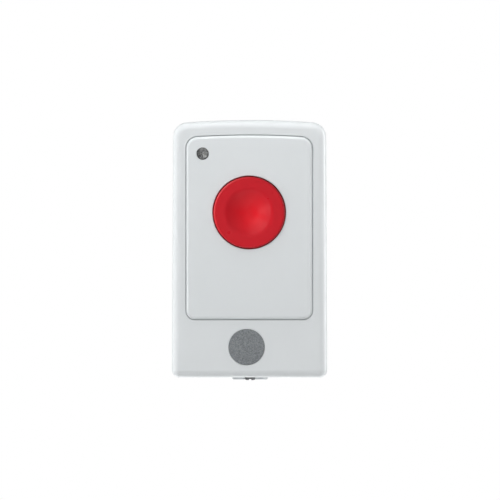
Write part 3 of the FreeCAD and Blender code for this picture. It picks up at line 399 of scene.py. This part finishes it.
# lead frame: a post with a reflector cup, and a plain post
lead_low, lead_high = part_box("led_leads")
lead_foot, lead_top = -lead_high.y / MM, -lead_low.y / MM
bm = bmesh.new()
cup_x, cup_z = lamp_x + 0.42, lamp_z - 0.3
count = 32
rings(bm, [
    squarish(lamp_x + 0.635, lamp_z, 0.23, 0.23, lead_foot, count),
    squarish(lamp_x + 0.635, lamp_z, 0.23, 0.23, lead_top - 1.35, count),
    squarish(cup_x, cup_z, 0.44, 0.42, lead_top - 0.85, count),
    squarish(cup_x, cup_z, 0.48, 0.45, lead_top - 0.06, count),
    squarish(cup_x, cup_z, 0.45, 0.42, lead_top, count),
    circle(cup_x, cup_z, 0.38, lead_top, count),
    circle(cup_x, cup_z, 0.35, lead_top - 0.04, count),
    circle(cup_x, cup_z, 0.22, lead_top - 0.34, count),
    circle(cup_x, cup_z, 0.0, lead_top - 0.34, count),
])
post_x = lamp_x - 0.635
rings(bm, [
    squarish(post_x, lamp_z, 0.23, 0.23, lead_foot, count),
    squarish(post_x, lamp_z, 0.23, 0.23, lead_top - 1.1, count),
    squarish(post_x + 0.12, lamp_z, 0.38, 0.42, lead_top - 0.85, count),
    squarish(post_x + 0.12, lamp_z, 0.38, 0.5, lead_top - 0.62, count),
    squarish(post_x + 0.12, lamp_z, 0.34, 0.46, lead_top - 0.58, count),
])
lead_frame = add_piece("lamp_lead_frame", bm, FINISH["tinned_copper"], stands_for=("led_leads",))
round_off(lead_frame, 0.03)

# the die in the cup, and the wire bonded from it to the post
bm = bmesh.new()
rings(bm, [
    squarish(cup_x, cup_z, 0.24, 0.24, lead_top - 0.35, 16, 12.0),
    squarish(cup_x, cup_z, 0.24, 0.24, lead_top - 0.12, 16, 12.0),
    squarish(cup_x, cup_z, 0.22, 0.22, lead_top - 0.08, 16, 12.0),
    circle(cup_x, cup_z, 0.08, lead_top - 0.08, 16),
    circle(cup_x, cup_z, 0.0, lead_top - 0.075, 16),
])
add_piece("lamp_die", bm, FINISH["chip_black"])

arch = bpy.data.curves.new("lamp_bond_wire", "CURVE")
arch.dimensions = "3D"
arch.bevel_depth = 0.022 * MM
arch.bevel_resolution = 3
arch.resolution_u = 10
run = arch.splines.new("NURBS")
way = [
    (cup_x, lead_top - 0.075, cup_z),
    (cup_x - 0.02, lead_top + 0.12, cup_z),
    (cup_x - 0.3, lead_top + 0.3, cup_z + 0.1),
    (cup_x - 0.75, lead_top + 0.05, lamp_z),
    (post_x + 0.1, lead_top - 0.575, lamp_z),
]
run.points.add(len(way) - 1)
for point, (x, depth, z) in zip(run.points, way):
    point.co = (x * MM, -depth * MM, z * MM, 1.0)
run.order_u = 3
run.use_endpoint_u = True
arch.materials.append(FINISH["tinned_copper"])
wire = bpy.data.objects.new("lamp_bond_wire", arch)
scene.collection.objects.link(wire)
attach(wire, "root")


# ---------------------------------------------------------------- light, floor and camera

def floor():
    """A plain pale floor below the object, which fades to the white surround away from it."""
    mesh = bpy.data.meshes.new("floor")
    bm = bmesh.new()
    z = -0.16
    columns = [[bm.verts.new((x, y, z)) for y in np.linspace(-3.0, 1.5, 4)] for x in np.linspace(-3.0, 3.0, 4)]
    for a, b in zip(columns, columns[1:]):
        for i in range(3):
            bm.faces.new((a[i], b[i], b[i + 1], a[i + 1]))
    bm.to_mesh(mesh)
    bm.free()
    made = bpy.data.objects.new("floor", mesh)
    scene.collection.objects.link(made)
    g = Graph("floor_paper")
    fibre = g.noise(700.0, 3.0, 0.6)
    base = g.mix(g.spread(fibre, 0.0, 1.0, 0.3, 0.7), (0.80, 0.80, 0.80), (0.83, 0.83, 0.83))
    g.shader(base, 0.75, g.bump(fibre, 0.00004))
    paper = g.out.inputs["Surface"].links[0].from_socket
    length = g.add("ShaderNodeVectorMath", operation="LENGTH")
    g.put(length.inputs[0], g.coords)
    path = g.add("ShaderNodeLightPath")
    dim = g.add("ShaderNodeMixShader")
    g.put(dim.inputs[0], g.math("MULTIPLY", path.outputs["Is Glossy Ray"], 0.75))
    g.put(dim.inputs[1], paper)
    paper = dim.outputs[0]
    glow = g.add("ShaderNodeEmission")
    glow.inputs["Strength"].default_value = 1.0
    blend = g.add("ShaderNodeMixShader")
    seen = path.outputs["Is Camera Ray"]
    g.put(blend.inputs[0], g.math("MULTIPLY", g.spread(length.outputs["Value"], 0.0, 1.0, 0.35, 1.1), seen))
    g.put(blend.inputs[1], paper)
    g.put(blend.inputs[2], glow.outputs[0])
    g.put(g.out.inputs["Surface"], blend.outputs[0])
    mesh.materials.append(g.mat)
    return made


ground = floor()


def softbox(name, azimuth, elevation, power, group, away=0.6):
    """A square soft light that looks at the object. Azimuth 0 is straight in front and turns to the right."""
    a, e = math.radians(azimuth), math.radians(elevation)
    way = Vector((math.sin(a) * math.cos(e), -math.cos(a) * math.cos(e), math.sin(e)))
    return panel_light(name, way * away, (0, 0, 0), 0.35, 0.35, power, group)


def panel_light(name, place, target, wide, high, power, group):
    data = bpy.data.lights.new(name, "AREA")
    data.shape = "RECTANGLE"
    data.size, data.size_y = wide, high
    data.energy = power
    lamp = bpy.data.objects.new(name, data)
    lamp.location = place
    lamp.rotation_euler = (Vector(target) - Vector(place)).to_track_quat("-Z", "Y").to_euler()
    lamp.visible_camera = False
    scene.collection.objects.link(lamp)
    lamp.light_linking.receiver_collection = group
    return lamp


def lit_group(name, state, *members):
    """What a light is kept to (INCLUDE) or kept off (EXCLUDE)."""
    group = bpy.data.collections.new(name)
    for member in members:
        group.objects.link(member)
    for entry in group.collection_objects:
        entry.light_linking.link_state = state
    return group


def surround(sides):
    """White all round for the camera. The light it gives comes from both sides and is weaker in reflections."""
    world = bpy.data.worlds.new("studio")
    scene.world = world
    world.use_nodes = True
    tree = world.node_tree
    tree.nodes.clear()

    def math_node(operation, a, b=0.0):
        node = tree.nodes.new("ShaderNodeMath")
        node.operation = operation
        for socket, value in zip(node.inputs, (a, b)):
            if isinstance(value, bpy.types.NodeSocket):
                tree.links.new(value, socket)
            else:
                socket.default_value = value
        return node.outputs[0]

    way = tree.nodes.new("ShaderNodeTexCoord").outputs["Generated"]
    parts = tree.nodes.new("ShaderNodeSeparateXYZ")
    tree.links.new(way, parts.inputs[0])
    level = math_node("MULTIPLY", math_node("POWER", math_node("ABSOLUTE", parts.outputs[0]), 6.0), sides)
    path = tree.nodes.new("ShaderNodeLightPath").outputs
    level = math_node("MULTIPLY", level, math_node("SUBTRACT", 1.0, math_node("MULTIPLY", path["Is Glossy Ray"], 0.6)))
    seen = path["Is Camera Ray"]
    strength = math_node("ADD", math_node("MULTIPLY", level, math_node("SUBTRACT", 1.0, seen)), seen)
    back = tree.nodes.new("ShaderNodeBackground")
    back.inputs["Color"].default_value = (1, 1, 1, 1)
    tree.links.new(strength, back.inputs["Strength"])
    out = tree.nodes.new("ShaderNodeOutputWorld")
    tree.links.new(back.outputs[0], out.inputs["Surface"])


surround(2.25)

# azimuth, elevation, metres away, watts; the first set lights everything but the button, the second the button
CASE_LIGHTS = [
    (-130, 10, 0.60, 0.70),
    (-120, 0, 0.60, 0.15),
    (-60, 10, 0.60, 0.24),
    (-60, 65, 0.48, 0.35),
    (-80, 0, 0.60, 0.80),
    (0, 25, 0.48, 0.54),
    (0, 65, 0.48, 0.90),
    (60, 65, 0.48, 0.50),
    (120, 0, 0.60, 0.72),
    (130, 10, 0.60, 1.10),
    (180, 45, 0.60, 0.11),
]
BUTTON_LIGHTS = [
    (0, 10, 0.60, 0.14),
    (-20, 35, 0.60, 0.17),
    (20, 35, 0.60, 0.06),
    (-20, 55, 0.60, 0.16),
    (-50, 55, 0.60, 0.12),
    (-55, -10, 0.60, 0.76),
    (-55, 40, 0.60, 1.20),
    (-70, 25, 0.60, 0.62),
    (30, 25, 0.60, 0.06),
]
button = nodes["panic_button"]
case_lit, button_lit = lit_group("case_lit", "EXCLUDE", button), lit_group("button_lit", "INCLUDE", button)
case_only = lit_group("case_only", "EXCLUDE", button, ground)
for kind, group, table in (("case", case_lit, CASE_LIGHTS), ("button", button_lit, BUTTON_LIGHTS)):
    for azimuth, elevation, away, power in table:
        # a light that stands down on the floor would draw a hard line across it
        low = group is case_lit and elevation < 15
        softbox(f"{kind}_{azimuth}_{elevation}", azimuth, elevation, power, case_only if low else group, away)
# the pale ground behind the foot, which brightens its lower edge
panel_light("foot", (0, 0.09, -0.13), (0, -0.01, -0.044), 0.25, 0.12, 0.18, case_only)
# an even light on the floor alone, which throws it back up at the object
panel_light("ground", (0, -0.001, 1.0), (0, 0, -0.16), 1.6, 1.6, 5.8, lit_group("ground_lit", "INCLUDE", ground))


PIXEL = 0.000341
AWAY = 2.0
LENS = 36.0 * AWAY / (500 * PIXEL)
ASIDE = 0.02
camera = bpy.data.objects.new("camera", bpy.data.cameras.new("camera"))
camera.data.lens = LENS
camera.data.sensor_width = 36.0
camera.data.clip_start, camera.data.clip_end = 0.05, 20.0
aim = Vector((0.8 * PIXEL, -0.0216, -1.0 * PIXEL))
camera.location = aim + Vector((ASIDE, -AWAY, 0.0))
camera.rotation_euler = (math.radians(90), 0, math.atan2(ASIDE, AWAY))
scene.collection.objects.link(camera)
scene.camera = camera
scene.view_settings.view_transform = "Standard"
